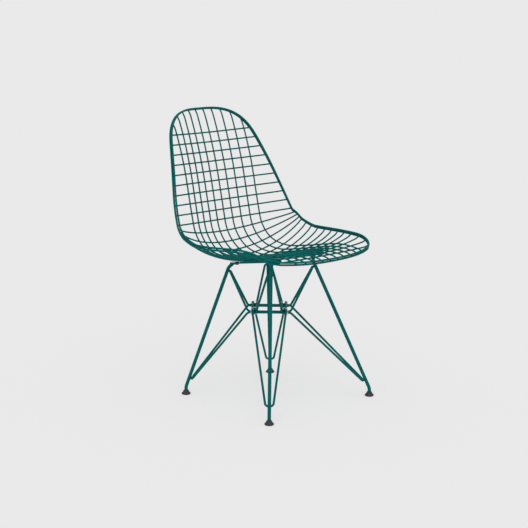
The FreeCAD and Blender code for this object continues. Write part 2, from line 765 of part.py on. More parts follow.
def glide(name, side, end):
    """A round foot with a bevelled base, a sloping top and a blind bore for the leg."""
    foot = leg_corners(side, end)[0]
    floor = Vector(foot.x, foot.y, 0)

    def above(height):
        return Placement(floor + UP * height, Rotation())

    base = cone(f"{name}_base", above(0), "<glide_diameter> / 2 - <glide_bevel>", "<glide_diameter> / 2",
                "<glide_bevel>")
    band = cylinder(f"{name}_band", above(size["glide_bevel"]), "<glide_diameter> / 2",
                    "<glide_rim_height> - <glide_bevel>")
    dome = cone(f"{name}_dome", above(size["glide_rim_height"]), "<glide_diameter> / 2",
                "<glide_neck_diameter> / 2", "<glide_height> - <glide_rim_height>")
    bore = cylinder(f"{name}_bore", above(size["leg_end_height"] - size["glide_play"]),
                    "<leg_diameter> / 2 + <glide_play>", "<glide_height>")
    return keep(cut(name, fused(f"{name}_blank", [base, band, dome]), bore), name)


SIDES = {"left": LEFT, "right": RIGHT}
for end in ("front", "rear"):
    for word, side in SIDES.items():
        leg(f"leg_{end}_{word}", side, end)
        glide(f"glide_{end}_{word}", side, end)


# Braces: closed rings of bent rod along the two diagonals between the feet

front_foot = leg_corners(LEFT, "front")[0]
rear_foot = leg_corners(RIGHT, "rear")[0]
crossing_share = rear_foot.x / (rear_foot.x - front_foot.x)
crossing_y = rear_foot.y + (front_foot.y - rear_foot.y) * crossing_share + size["crossing_set_back"]
ROD_STEP = size["brace_diameter"] + size["weld_gap"]


def level_direction(side):
    """Direction of a diagonal, from a rear foot to the front foot on the given side."""
    along = mirrored(front_foot - rear_foot, side)
    return Vector(along.x, along.y, 0).normalize()


def level_point(side, along, across, height):
    """Point beside a diagonal, at a height over the floor."""
    direction = level_direction(side)
    return Vector(0, crossing_y, height) + direction * along + UP.cross(direction) * across


def hoop_point(side, end, height):
    """Middle of a hoop that touches the inner side of a leg at a height over the floor."""
    foot, knee, neck, top = leg_corners(side, end)
    low, high = (knee, neck) if height < neck.z else (neck, top)
    on_leg = low + (high - low) * ((height - low.z) / (high.z - low.z))
    upward = (high - low).normalize()
    inward = Vector(-on_leg.x, crossing_y - on_leg.y, 0)
    square = (inward - upward * inward.dot(upward)).normalize()
    return on_leg + square * ((size["leg_diameter"] + size["brace_diameter"]) / 2 + size["weld_gap"])


def hairpin(name, side, end, level, half_gap, turn, weld_height):
    """Half of a brace: level rods from the middle, arms to a leg and a hoop against it."""
    along = size["brace_half_length"] * (1 if end == "front" else -1)
    hoop = hoop_point(side if end == "front" else -side, end, weld_height)
    sideways = UP.cross(level_direction(side)) * turn
    corners = [
        level_point(side, 0, -half_gap, level),
        level_point(side, along, -half_gap, level),
        hoop - sideways,
        hoop + sideways,
        level_point(side, along, half_gap, level),
        level_point(side, 0, half_gap, level),
    ]
    bend = size["brace_bend_radius"]
    return rod(name, rounded_path(corners, [0, bend, turn, turn, bend, 0]), "brace_diameter")


def brace(name, side, level, half_gap, turn, front_height, rear_height):
    """A closed ring: two hairpins welded end to end in the middle of the level rods."""
    front = hairpin(f"{name}_front", side, "front", level, half_gap, turn, front_height)
    rear = hairpin(f"{name}_rear", side, "rear", level, half_gap, turn, rear_height)
    return keep(fused(name, [front, rear]), name)


front_rail_z = leg_corners(LEFT, "front")[-1].z
rear_rail_z = leg_corners(LEFT, "rear")[-1].z
for word, side in SIDES.items():
    level = size["brace_height"] + (ROD_STEP if side == RIGHT else 0)
    low = size["lower_hoop_height"]
    turn = size["lower_hoop_half_width"]
    brace(f"lower_brace_front_{word}", side, level, size["lower_brace_half_gap"], turn, low, low)
    brace(
        f"upper_brace_front_{word}",
        side,
        level,
        size["upper_brace_half_gap"],
        size["upper_hoop_half_width"],
        front_rail_z - size["front_hoop_drop"],
        rear_rail_z - size["rear_hoop_drop"],
    )


# Rubber plugs and wire clips where the braces cross

PLUG_CENTRE = (size["lower_brace_half_gap"] + size["upper_brace_half_gap"]) / 2
ROD_SPACING = size["lower_brace_half_gap"] - size["upper_brace_half_gap"]
CROSSINGS = [(u * PLUG_CENTRE, v * PLUG_CENTRE) for u in (1, -1) for v in (1, -1)]
CLIP_LOW = size["brace_height"] - size["brace_diameter"] / 2 - size["clip_headroom"]
CLIP_HIGH = size["brace_height"] + ROD_STEP + size["brace_diameter"] / 2 + size["clip_headroom"]
CLIP_HALF_WIDTH = ROD_SPACING / math.sqrt(2) + math.sqrt(2) * (
    size["brace_diameter"] / 2 + size["clip_diameter"] / 2 + size["clip_play"]
)


def crossing_clip(number, along, across):
    """A closed wire around one crossing of four rods, upright and across both pairs."""
    middle_low = level_point(LEFT, along, across, CLIP_LOW)
    outward = (middle_low - level_point(LEFT, 0, 0, CLIP_LOW)).normalize() * CLIP_HALF_WIDTH
    rise = UP * (CLIP_HIGH - CLIP_LOW)
    corners = [middle_low - outward, middle_low + outward, middle_low + outward + rise,
               middle_low - outward + rise]
    radii = [size["clip_corner_radius"]] * len(corners)
    return rod(f"crossing_clip_{number}", rounded_path(corners, radii, closed=True), "clip_diameter")


def rubber_plug(number, along, across):
    """A square rubber plug between four rods, held by the clip above and below it."""
    plug = doc.addObject("Part::Box", f"rubber_plug_{number}")
    side_length = "<lower_brace_half_gap> - <upper_brace_half_gap> - <brace_diameter> - 2 * <plug_play>"
    bind(
        plug,
        Length=side_length,
        Width=side_length,
        Height="2 * <brace_diameter> + <weld_gap> + 2 * <clip_headroom> - <clip_diameter> - 2 * <plug_play>",
    )
    half = (ROD_SPACING - size["brace_diameter"]) / 2 - size["plug_play"]
    low = CLIP_LOW + size["clip_diameter"] / 2 + size["plug_play"]
    direction = level_direction(LEFT)
    turned = Rotation(direction, Vector(), UP, "ZXY")
    shift = Placement(Vector(-half, -half, 0), Rotation())
    plug.Placement = Placement(level_point(LEFT, along, across, low), turned) * shift
    return plug


for label, make in (("crossing_clips", crossing_clip), ("crossing_plugs", rubber_plug)):
    group(label, [make(number, *place) for number, place in enumerate(CROSSINGS, start=1)])


# Check and write

doc.recompute()
for obj in doc.Objects:
    if "Invalid" in obj.State or "Error" in obj.State:
        raise RuntimeError(f"{obj.Label} failed: {obj.State}")
for name, obj in finished.items():
    if obj.Shape.isNull() or not obj.Shape.isValid():
        raise RuntimeError(f"{name} has no valid shape")

os.makedirs("parts", exist_ok=True)
for name, obj in finished.items():
    obj.Shape.exportStep(f"parts/{name}.step")
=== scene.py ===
import json
import math

import bmesh
import bpy
import numpy as np
from mathutils import Matrix, Vector

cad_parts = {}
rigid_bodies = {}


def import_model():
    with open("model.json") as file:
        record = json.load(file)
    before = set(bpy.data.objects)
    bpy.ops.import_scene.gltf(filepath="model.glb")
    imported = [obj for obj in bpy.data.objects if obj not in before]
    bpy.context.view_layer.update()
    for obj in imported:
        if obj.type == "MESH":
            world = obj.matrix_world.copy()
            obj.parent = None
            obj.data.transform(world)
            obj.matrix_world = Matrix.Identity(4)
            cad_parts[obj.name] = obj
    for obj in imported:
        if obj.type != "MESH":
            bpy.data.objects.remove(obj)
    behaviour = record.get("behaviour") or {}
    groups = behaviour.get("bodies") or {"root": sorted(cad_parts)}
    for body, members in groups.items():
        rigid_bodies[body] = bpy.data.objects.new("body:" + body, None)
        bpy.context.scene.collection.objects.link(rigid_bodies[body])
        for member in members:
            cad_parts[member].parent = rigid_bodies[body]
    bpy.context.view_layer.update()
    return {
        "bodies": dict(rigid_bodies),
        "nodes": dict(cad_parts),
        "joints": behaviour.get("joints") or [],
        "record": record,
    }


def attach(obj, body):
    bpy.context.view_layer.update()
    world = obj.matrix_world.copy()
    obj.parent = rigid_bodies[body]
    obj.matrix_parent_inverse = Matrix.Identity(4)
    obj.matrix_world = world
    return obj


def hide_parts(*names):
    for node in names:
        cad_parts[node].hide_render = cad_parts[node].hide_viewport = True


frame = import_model()

# Long wires of the shell. Ten steel wires run from the top rim down the back, round the bend and over
# the seat to the front lip. They are bent to the dish of the shell, lie on the sitter's side of the
# cross wires, and are powder coated with the whole chair after welding.

RIM_TOP_Y = 0.2815
RIM_TOP_Z = 0.8275
BACK_LEAN = math.radians(24)
SPANS = (
    (0.2303, math.radians(11)),
    (0.1144, 0),
    (0.1416, math.radians(-67.9)),
    (0.0794, math.radians(-21.7)),
    (0.1728, 0),
    (0.1226, math.radians(24.6)),
)
SHELL_LENGTH = sum(length for length, turn in SPANS)
WIDTH_STATIONS = (0, 0.155, 0.305, 0.39, 0.48, 0.6, 0.74, 0.825)
HALF_WIDTHS = (0.1378, 0.1872, 0.2251, 0.2376, 0.2411, 0.2424, 0.2212, 0.2267)
EDGE_LIFTS = (0.0192, 0.041, 0.0654, 0.0832, 0.083, 0.0574, 0.0288, 0.0017)
FULLNESS_STATIONS = (0, 0.435, 0.64)
FULLNESSES = (0.8, -0.07, -0.33)
FAN_STATIONS = (0.075, 0.435, 0.62, 0.79)
FANS = tuple(math.radians(angle) for angle in (8.8, -2.3, 0, 14.2))
TOP_CORNER = (0.1065, 2.95)
FRONT_CORNER = (0.119, 2.38)
WIRE_DIAMETER = 0.0044
WIRE_RAISE = 0.00225
SET_DOWN = 0.018
WIRE_END = -0.0019
LONG_WIRE_PITCH = 0.03035
LONG_WIRES = 10
PATH_STEP = 0.004


def smooth(at, stations, values):
    """Smooth curve through values at stations, level with the end values beyond them."""
    stations = np.array(stations)
    values = np.array(values)
    at = np.clip(at, stations[0], stations[-1])
    steps = np.diff(stations)
    slopes = np.diff(values) / steps
    inner = (slopes[:-1] * steps[1:] + slopes[1:] * steps[:-1]) / (steps[:-1] + steps[1:])
    tangents = np.concatenate([slopes[:1], inner, slopes[-1:]])
    n = np.clip(np.searchsorted(stations, at, side="right") - 1, 0, len(steps) - 1)
    t = (at - stations[n]) / steps[n]
    by_value = values[n] * (1 - t) ** 2 * (1 + 2 * t) + values[n + 1] * t ** 2 * (3 - 2 * t)
    by_tangent = tangents[n] * t * (1 - t) ** 2 - tangents[n + 1] * t ** 2 * (1 - t)
    return by_value + by_tangent * steps[n]


def middle_line(station):
    """Y, Z and direction of the shell's middle line, at distances along it from the top rim."""
    y = RIM_TOP_Y
    z = RIM_TOP_Z
    angle = -(math.pi / 2 + BACK_LEAN)
    left = np.asarray(station, float)
    for length, turn in SPANS:
        run = np.minimum(left, length)
        bend = turn * run / length
        chord = run * np.sinc(bend / (2 * math.pi))
        y = y + chord * np.cos(angle + bend / 2)
        z = z + chord * np.sin(angle + bend / 2)
        angle = angle + bend
        left = left - run
    return y + left * np.cos(angle), z + left * np.sin(angle), angle


def rounded(distance, corner):
    """Share of the width that is left at a distance into a rounded corner."""
    length, power = corner
    share = np.clip(distance / length, 0, 1)
    return (1 - (1 - share) ** power) ** (1 / power)


def edge(station):
    """Distance from the middle plane to the rim."""
    corners = rounded(station, TOP_CORNER) * rounded(SHELL_LENGTH - station, FRONT_CORNER)
    return smooth(station, WIDTH_STATIONS, HALF_WIDTHS) * corners


def shell(station, across):
    """Points on the middle surface of the shell."""
    y, z, angle = middle_line(station)
    tilted = angle + smooth(station, FAN_STATIONS, FANS)
    share = (across / smooth(station, WIDTH_STATIONS, HALF_WIDTHS)) ** 2
    fullness = smooth(station, FULLNESS_STATIONS, FULLNESSES)
    rise = smooth(station, WIDTH_STATIONS, EDGE_LIFTS) * share * (1 + fullness * (1 - share))
    return np.stack([across + 0 * rise, y + rise * np.sin(tilted), z - rise * np.cos(tilted)], axis=-1)


def unit(vectors):
    """Vectors at length one."""
    return vectors / np.linalg.norm(vectors, axis=-1, keepdims=True)


def shell_normal(station, across):
    """Directions square to the shell, toward the sitter."""
    step = 0.0005
    along = shell(station + step, across) - shell(station - step, across)
    sideways = shell(station, across + step) - shell(station, across - step)
    return unit(np.cross(along, sideways))


def raised(station, across, height):
    """Points at a height over the middle surface, toward the sitter."""
    station, across, height = np.broadcast_arrays(station, across, height)
    return shell(station, across) + shell_normal(station, across) * height[..., None]


def edge_station(across, low, high):
    """The station between two others where the rim passes a distance from the middle plane."""
    for halving in range(40):
        middle = (low + high) / 2
        if edge(middle) < across:
            low = middle
        else:
            high = middle
    return middle


def laid_down(at, start, stop):
    """Share of a wire's raise along it: none at its ends, which come in between the rims."""
    near = np.clip(np.minimum(at - start, stop - at) / SET_DOWN, 0, 1)
    return np.where(near < 0.5, 2 * near ** 2, 1 - 2 * (1 - near) ** 2)


def stretch(start, stop):
    """Even steps along a wire."""
    return np.linspace(start, stop, round((stop - start) / PATH_STEP) + 1)


class Value:
    """A node's output that takes part in sums; each sum adds its Math node."""

    def __init__(self, graph, socket):
        self.graph = graph
        self.socket = socket

    def _math(self, operation, first, second):
        return self.graph.node("ShaderNodeMath", {"operation": operation}, {0: first, 1: second})["Value"]

    def __add__(self, other):
        return self._math("ADD", self, other)

    def __sub__(self, other):
        return self._math("SUBTRACT", self, other)

    def __mul__(self, other):
        return self._math("MULTIPLY", self, other)

    def __rsub__(self, other):
        return self._math("SUBTRACT", other, self)

    def larger(self, other):
        """The larger of this and another value."""
        return self._math("MAXIMUM", self, other)

    __radd__ = __add__
    __rmul__ = __mul__


class Graph:
    """A node tree under construction."""

    def __init__(self, tree):
        self.tree = tree

    def node(self, kind, settings=None, inputs=None):
        """Add a node: its settings first, then the values or links of its sockets."""
        made = self.tree.nodes.new(kind)
        for name, value in (settings or {}).items():
            if name == "stops":
                for stop, (position, colour) in zip(made.color_ramp.elements, value):
                    stop.position = position
                    stop.color = colour
            else:
                setattr(made, name, value)
        for name, value in (inputs or {}).items():
            if isinstance(value, Value):
                self.tree.links.new(value.socket, made.inputs[name])
            else:
                made.inputs[name].default_value = value
        return {output.name: Value(self, output) for output in made.outputs if output.enabled}


def geometry_tree(name, sizes):
    """A geometry node tree with named inputs: (graph, its inputs by name)."""
    tree = bpy.data.node_groups.new(name, "GeometryNodeTree")
    tree.interface.new_socket("Geometry", in_out="INPUT", socket_type="NodeSocketGeometry")
    for label, (kind, value) in sizes.items():
        socket = tree.interface.new_socket(label, in_out="INPUT", socket_type=f"NodeSocket{kind}")
        if value is not None:
            socket.default_value = value
    tree.interface.new_socket("Geometry", in_out="OUTPUT", socket_type="NodeSocketGeometry")
    graph = Graph(tree)
    return graph, graph.node("NodeGroupInput")


def bent_rod_tree():
    """A round rod along the edges of a path; corners are rounded with the path's own bend radii."""
    graph, given = geometry_tree("bent rod", {
        "Diameter": ("Float", 0.004),
        "Sides": ("Int", 16),
        "Arc Steps": ("Int", 10),
        "Material": ("Material", None),
    })
    path = graph.node("GeometryNodeMeshToCurve", {}, {"Mesh": given["Geometry"]})["Curve"]
    radius = graph.node("GeometryNodeInputNamedAttribute", {"data_type": "FLOAT"}, {"Name": "bend_radius"})
    path = graph.node("GeometryNodeFilletCurve", {"mode": "POLY"}, {
        "Curve": path,
        "Count": given["Arc Steps"],
        "Radius": radius["Attribute"],
        "Limit Radius": True,
    })["Curve"]
    section = graph.node("GeometryNodeCurvePrimitiveCircle", {}, {
        "Resolution": given["Sides"],
        "Radius": given["Diameter"] * 0.5,
    })["Curve"]
    rod = graph.node("GeometryNodeCurveToMesh", {}, {
        "Curve": path,
        "Profile Curve": section,
        "Fill Caps": True,
    })["Mesh"]
    rod = graph.node("GeometryNodeSetShadeSmooth", {}, {"Geometry": rod})["Geometry"]
    rod = graph.node("GeometryNodeRealizeInstances", {}, {"Geometry": rod})["Geometry"]
    rod = graph.node("GeometryNodeSetMaterial", {}, {"Geometry": rod, "Material": given["Material"]})
    graph.node("NodeGroupOutput", {}, {"Geometry": rod["Geometry"]})
    return graph.tree


def grown(name, base, tree, sizes):
    """The plain mesh object that a geometry node tree makes of a base mesh."""
    source = bpy.data.objects.new(f"{name}_source", base)
    bpy.context.scene.collection.objects.link(source)
    modifier = source.modifiers.new("grown", "NODES")
    modifier.node_group = tree
    for item in tree.interface.items_tree:
        if item.in_out == "INPUT" and item.name in sizes:
            modifier[item.identifier] = sizes[item.name]
    evaluated = source.evaluated_get(bpy.context.evaluated_depsgraph_get())
    mesh = bpy.data.meshes.new_from_object(evaluated)
    mesh.name = name
    source.modifiers.remove(modifier)
    bpy.data.objects.remove(source)
    piece = bpy.data.objects.new(name, mesh)
    bpy.context.scene.collection.objects.link(piece)
    return piece


def path_mesh(name, paths, bends=None, closed=False):
    """A mesh of edges along the points of each path, with a bend radius at each point."""
    points = []
    edges = []
    for path in paths:
        first = len(points)
        points += [tuple(point) for point in path]
        last = len(points) - 1
        edges += [(n, n + 1) for n in range(first, last)]
        if closed:
            edges.append((last, first))
    mesh = bpy.data.meshes.new(f"{name}_path")
    mesh.from_pydata(points, edges, [])
    radius = mesh.attributes.new("bend_radius", "FLOAT", "POINT")
    radius.data.foreach_set("value", list(bends) * len(paths) if bends else [0.0] * len(points))
    return mesh


BENT_ROD = bent_rod_tree()


def bent_rods(name, paths, diameter, material, sides=14, bends=None, closed=False):
    """Smooth rods along paths, as one object."""
    sizes = {"Diameter": diameter, "Sides": sides, "Arc Steps": 10, "Material": material}
    return grown(name, path_mesh(name, paths, bends, closed), BENT_ROD, sizes)


def on_chair(piece, slot, *nodes):
    """Join a piece to the chair, in place of nodes of the frame."""
    if nodes:
        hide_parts(*nodes)
    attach(piece, "root")


def new_material(name):
    """A material with its shader: (material, graph, shader node)."""
    material = bpy.data.materials.new(name)
    material.use_nodes = True
    shader = material.node_tree.nodes["Principled BSDF"]
    return material, Graph(material.node_tree), shader


def feed(graph, shader, **inputs):
    """Set or link a shader's sockets, named with underscores for spaces."""
    for name, value in inputs.items():
        socket = shader.inputs[name.replace("_", " ")]
        if isinstance(value, Value):
            graph.tree.links.new(value.socket, socket)
        else:
            socket.default_value = value


DEEP_TEAL = (0.0006, 0.107, 0.102, 1)
BRIGHT_TEAL = (0.001, 0.136, 0.127, 1)
PEEL_DEPTH = 0.00006


def teal_powder_coat():
    """Satin powder coat: deep teal, a fine orange peel and slightly uneven thickness."""
    material, graph, shader = new_material("teal_powder_coat")
    place = graph.node("ShaderNodeTexCoord")["Object"]
    cloud = graph.node("ShaderNodeTexNoise", {}, {"Vector": place, "Scale": 26.0, "Detail": 3.0})["Fac"]
    peel = graph.node("ShaderNodeTexNoise", {}, {"Vector": place, "Scale": 850.0, "Detail": 1.0})["Fac"]
    stops = ((0.3, DEEP_TEAL), (0.7, BRIGHT_TEAL))
    colour = graph.node("ShaderNodeValToRGB", {"stops": stops}, {"Fac": cloud})["Color"]
    bump = graph.node("ShaderNodeBump", {}, {"Height": peel, "Strength": 0.35, "Distance": PEEL_DEPTH})
    feed(graph, shader, Base_Color=colour, Roughness=0.42 + 0.12 * cloud, Normal=bump["Normal"],
         Specular_IOR_Level=0.03)
    return material


POWDER_COAT = teal_powder_coat()

for number in range(1, LONG_WIRES + 1):
    across = LONG_WIRE_PITCH * (number - (LONG_WIRES + 1) / 2)
    middle = SHELL_LENGTH / 2
    start = edge_station(abs(across), 0, middle) - WIRE_END
    stop = edge_station(abs(across), SHELL_LENGTH, middle) + WIRE_END
    at = stretch(start, stop)
    points = raised(at, across, WIRE_RAISE * laid_down(at, start, stop))
    wire = bent_rods(f"long_wire_{number:02d}", [points], WIRE_DIAMETER, POWDER_COAT)
    on_chair(wire, "teal_paint", f"longitudinal_wire_{number:02d}")

# Cross wires of the shell. Twenty-five wires of the same stock run from side to side under the long ones,
# each bent to its own curve, and are spot welded wherever they cross them.

FIRST_CROSS_WIRE = 0.075
LAST_CROSS_WIRE_MARGIN = 0.0456
CROSS_WIRES = 25
EVEN_HEIGHT = 0.0201


def evened(station):
    """Length along the shell at the height where the cross wires are evenly spaced."""
    total = 0 * station
    left = station
    for length, turn in SPANS:
        run = np.minimum(left, length)
        total = total + run * (1 + min(turn, 0) / length * EVEN_HEIGHT)
        left = left - run
    return total


fine_stations = np.linspace(0, SHELL_LENGTH, 20001)
last_cross_wire = SHELL_LENGTH - LAST_CROSS_WIRE_MARGIN
even_places = np.linspace(evened(np.float64(FIRST_CROSS_WIRE)), evened(last_cross_wire), CROSS_WIRES)
cross_stations = np.interp(even_places, evened(fine_stations), fine_stations)

for number, station in enumerate(cross_stations, start=1):
    reach = edge(station) + WIRE_END
    at = stretch(-reach, reach)
    points = raised(station, at, -WIRE_RAISE * laid_down(at, -reach, reach))
    wire = bent_rods(f"side_wire_{number:02d}", [points], WIRE_DIAMETER, POWDER_COAT)
    on_chair(wire, "teal_paint", f"cross_wire_{number:02d}")

# Rim wires. Two thicker steel wires run right round the shell, one above and one below the ends of the
# grid, and every wire end is welded between them.

RIM_DIAMETER = 0.0056
RIM_RAISE = 0.00335
RIM_STEPS = 90


def rim_places():
    """Stations and distances across, close together round the whole edge."""
    turn = np.linspace(0, math.pi / 2, RIM_STEPS, endpoint=False)
    top_length, top_power = TOP_CORNER
    front_length, front_power = FRONT_CORNER
    top = top_length * (1 - np.cos(turn) ** (2 / top_power))
    side = np.linspace(top_length, SHELL_LENGTH - front_length, 2 * RIM_STEPS, endpoint=False)
    front = SHELL_LENGTH - front_length * (1 - np.sin(turn) ** (2 / front_power))
    stations = np.concatenate([top, side, front, [SHELL_LENGTH]])
    across = edge(stations)
    return np.concatenate([stations, stations[-2:0:-1]]), np.concatenate([across, -across[-2:0:-1]])


rim_stations, rim_across = rim_places()
for word, height in (("upper", RIM_RAISE), ("lower", -RIM_RAISE)):
    points = raised(rim_stations, rim_across, height)
    rim = bent_rods(f"{word}_rim", [points], RIM_DIAMETER, POWDER_COAT, sides=18, closed=True)
    on_chair(rim, "teal_paint", f"{word}_rim_wire")

# Welds of the grid. A spot weld joins each crossing of a long and a cross wire, and each wire's end is
# welded to both rims; the coating rounds off the little bulges.

CROSSING_WELD = (0.0027, 0.0027, 0.0031)
END_WELD = (0.0026, 0.0026, 0.0032)
END_WELD_DEPTH = 0.0014
WELD_SPREAD = 0.12
WELD_SEED = 5
RIM_CLEARANCE = 0.006


def bead_tree():
    """Small rounded beads on the points of a mesh, each facing along the points' own direction."""
    graph, given = geometry_tree("weld beads", {
        "Size": ("Vector", None),
        "Spread": ("Float", WELD_SPREAD),
        "Seed": ("Int", WELD_SEED),
        "Material": ("Material", None),
    })
    facing = graph.node("GeometryNodeInputNamedAttribute", {"data_type": "FLOAT_VECTOR"}, {"Name": "facing"})
    turned = graph.node("FunctionNodeAlignRotationToVector", {"axis": "Z"}, {"Vector": facing["Attribute"]})
    share = graph.node("FunctionNodeRandomValue", {"data_type": "FLOAT"}, {
        "Min": 1 - given["Spread"],
        "Max": 1 + given["Spread"],
        "Seed": given["Seed"],
    })
    scale = graph.node("ShaderNodeVectorMath", {"operation": "SCALE"}, {
        0: given["Size"],
        "Scale": share["Value"],
    })
    ball = graph.node("GeometryNodeMeshUVSphere", {}, {"Segments": 10, "Rings": 6, "Radius": 1.0})
    beads = graph.node("GeometryNodeInstanceOnPoints", {}, {
        "Points": given["Geometry"],
        "Instance": ball["Mesh"],
        "Rotation": turned["Rotation"],
        "Scale": scale["Vector"],
    })["Instances"]
    beads = graph.node("GeometryNodeRealizeInstances", {}, {"Geometry": beads})["Geometry"]
    beads = graph.node("GeometryNodeSetShadeSmooth", {}, {"Geometry": beads})["Geometry"]
    beads = graph.node("GeometryNodeSetMaterial", {}, {"Geometry": beads, "Material": given["Material"]})
    graph.node("NodeGroupOutput", {}, {"Geometry": beads["Geometry"]})
    return graph.tree


BEADS = bead_tree()


def weld_beads(name, points, directions, size):
    """Beads of weld at points, each with its own direction."""
    mesh = bpy.data.meshes.new(f"{name}_points")
    mesh.from_pydata([tuple(point) for point in points], [], [])
    facing = mesh.attributes.new("facing", "FLOAT_VECTOR", "POINT")
    facing.data.foreach_set("vector", np.ravel(directions))
    sizes = {"Size": size, "Spread": WELD_SPREAD, "Seed": WELD_SEED, "Material": POWDER_COAT}
    on_chair(grown(name, mesh, BEADS, sizes), "teal_paint")


long_across = LONG_WIRE_PITCH * (np.arange(LONG_WIRES) - (LONG_WIRES - 1) / 2)
grid_stations, grid_across = [places.ravel() for places in np.meshgrid(cross_stations, long_across)]
crossed = np.abs(grid_across) < edge(grid_stations) - RIM_CLEARANCE
grid_stations = grid_stations[crossed]
grid_across = grid_across[crossed]
weld_beads("crossing_welds", raised(grid_stations, grid_across, 0.0),
           shell_normal(grid_stations, grid_across), CROSSING_WELD)

end_stations = [cross_stations, cross_stations]
end_across = [edge(cross_stations) - END_WELD_DEPTH, END_WELD_DEPTH - edge(cross_stations)]
for low, inward in ((0, 1), (SHELL_LENGTH, -1)):
    met = np.array([edge_station(abs(across), low, SHELL_LENGTH / 2) for across in long_across])
    end_stations.append(met + END_WELD_DEPTH * inward)
    end_across.append(long_across)
end_stations = np.concatenate(end_stations)
end_across = np.concatenate(end_across)
weld_beads("rim_welds", raised(end_stations, end_across, 0.0),
           shell_normal(end_stations, end_across), END_WELD)

# Mounting rails. Two steel bars on edge run under the seat from front to rear and nearly fill the space
# under the grid, lowered at each mounting plate. The legs are welded under them, and the whole frame is
# powder coated like the shell.

RAIL_SCREWS = (Vector((0.08731, -0.14505, 0.4291)), Vector((0.07455, 0.03281, 0.3978)))
RAIL_NORMAL = Vector((-0.12137, 0.16377, 0.979))
RAIL_FRONT_END = 0.012
RAIL_REAR_END = 0.0267
RAIL_WIDTH = 0.012
RAIL_HEIGHTS = (0.0094, 0.0044)
RAIL_PLAY = 0.0003
NOTCH_HALF_LENGTH = 0.021
GRID_DEPTH = 0.00445
FOOT_TRIES = 20
EASED_EDGE = 0.0005
SIDES = {"left": 1, "right": -1}


def mirrored(vector, side):
    """The vector on one side of the chair; it is given on the left."""
    return Vector((vector.x * side, vector.y, vector.z))


def stood(origin, x_direction, z_direction, size=(1, 1, 1)):
    """Placement with its X and Z axes along the given directions."""
    z_axis = z_direction.normalized()
    x_axis = (x_direction - z_axis * x_direction.dot(z_axis)).normalized()
    turned = Matrix((x_axis, z_axis.cross(x_axis), z_axis)).transposed().to_4x4()
    return Matrix.Translation(origin) @ turned @ Matrix.Diagonal((*size, 1))


def rail_frame(side, along=0, height=0):
    """Placement under a rail: X along it to the rear, Z square to it, origin under its front screw."""
    run = mirrored(RAIL_SCREWS[1] - RAIL_SCREWS[0], side).normalized()
    square = mirrored(RAIL_NORMAL, side)
    return stood(mirrored(RAIL_SCREWS[0], side) + run * along + square * height, run, square)


SCREW_SPAN = (RAIL_SCREWS[1] - RAIL_SCREWS[0]).length


def ring(radius, height, steps=32):
    """A level circle of points."""
    turn = np.arange(steps) * 2 * math.pi / steps
    return np.stack([radius * np.cos(turn), radius * np.sin(turn), np.full(steps, height)], axis=-1)


def lofted(rings, looped=False):
    """Points and faces of a solid through rings; its ends are closed, or joined where it is looped."""
    count = len(rings[0])
    pairs = [(n, n + 1) for n in range(len(rings) - 1)]
    if looped:
        pairs.append((len(rings) - 1, 0))
    faces = []
    for low, high in pairs:
        for n in range(count):
            ahead = (n + 1) % count
            faces.append((low * count + n, low * count + ahead, high * count + ahead, high * count + n))
    if not looped:
        faces.append(tuple(range(count)))
        faces.append(tuple(range((len(rings) - 1) * count, len(rings) * count)))
    return np.concatenate(rings), faces


def bevelled(outline, low, high, ease):
    """A slab with eased edges, from a level outline given as points and their outward directions."""
    points, outward = outline
    rings = []
    for height, lean, turns in ((low, 1, (90, 45, 0)), (high, -1, (0, 45, 90))):
        for turn in turns:
            inset = ease * (1 - math.cos(math.radians(turn)))
            level = height + lean * ease * (1 - math.sin(math.radians(turn)))
            flat = points - outward * inset
            rings.append(np.column_stack([flat, np.full(len(flat), level)]))
    return lofted(rings)


def made(name, shapes, placements, material):
    """One object of solids, each shape set at each placement."""
    points = []
    faces = []
    for placement in placements:
        matrix = np.array(placement)
        for shape_points, shape_faces in shapes:
            first = len(points)
            points += [tuple(point) for point in shape_points @ matrix[:3, :3].T + matrix[:3, 3]]
            faces += [tuple(first + n for n in face) for face in shape_faces]
    mesh = bpy.data.meshes.new(name)
    mesh.from_pydata(points, [], faces)
    shaped = bmesh.new()
    shaped.from_mesh(mesh)
    bmesh.ops.recalc_face_normals(shaped, faces=shaped.faces)
    shaped.to_mesh(mesh)
    shaped.free()
    mesh.shade_smooth()
    mesh.set_sharp_from_angle(angle=math.radians(32))
    mesh.materials.append(material)
    piece = bpy.data.objects.new(name, mesh)
    bpy.context.scene.collection.objects.link(piece)
    return piece


def grid_room(along):
    """Height of the grid over a left rail's underside, at a distance along the rail."""
    rooms = []
    for aside in (-0.5, 0, 0.5):
        foot = np.array(rail_frame(1, along) @ Vector((0, aside * RAIL_WIDTH, 0)))
        station = np.interp(-foot[1], -middle_line(fine_stations)[0], fine_stations)
        across = foot[0]
        for attempt in range(FOOT_TRIES):
            gap = shell(station, across) - foot
            height = gap @ np.array(RAIL_NORMAL)
            missed = gap - height * np.array(RAIL_NORMAL)
            station += missed[1]
            across -= missed[0]
        rooms.append(height - GRID_DEPTH)
    return min(rooms)


def rail_outline():
    """Side view of a rail, anticlockwise: flat below, its top close under the grid between the plates."""
    stop = SCREW_SPAN + RAIL_REAR_END
    rear_notch = SCREW_SPAN - NOTCH_HALF_LENGTH
    top = [(stop, RAIL_HEIGHTS[1]), (rear_notch, RAIL_HEIGHTS[1])]
    top += [(along, grid_room(along) - RAIL_PLAY) for along in np.linspace(rear_notch, NOTCH_HALF_LENGTH, 6)]
    top += [(NOTCH_HALF_LENGTH, RAIL_HEIGHTS[0]), (-RAIL_FRONT_END, RAIL_HEIGHTS[0])]
    return np.array([(-RAIL_FRONT_END, 0), (stop, 0)] + top)


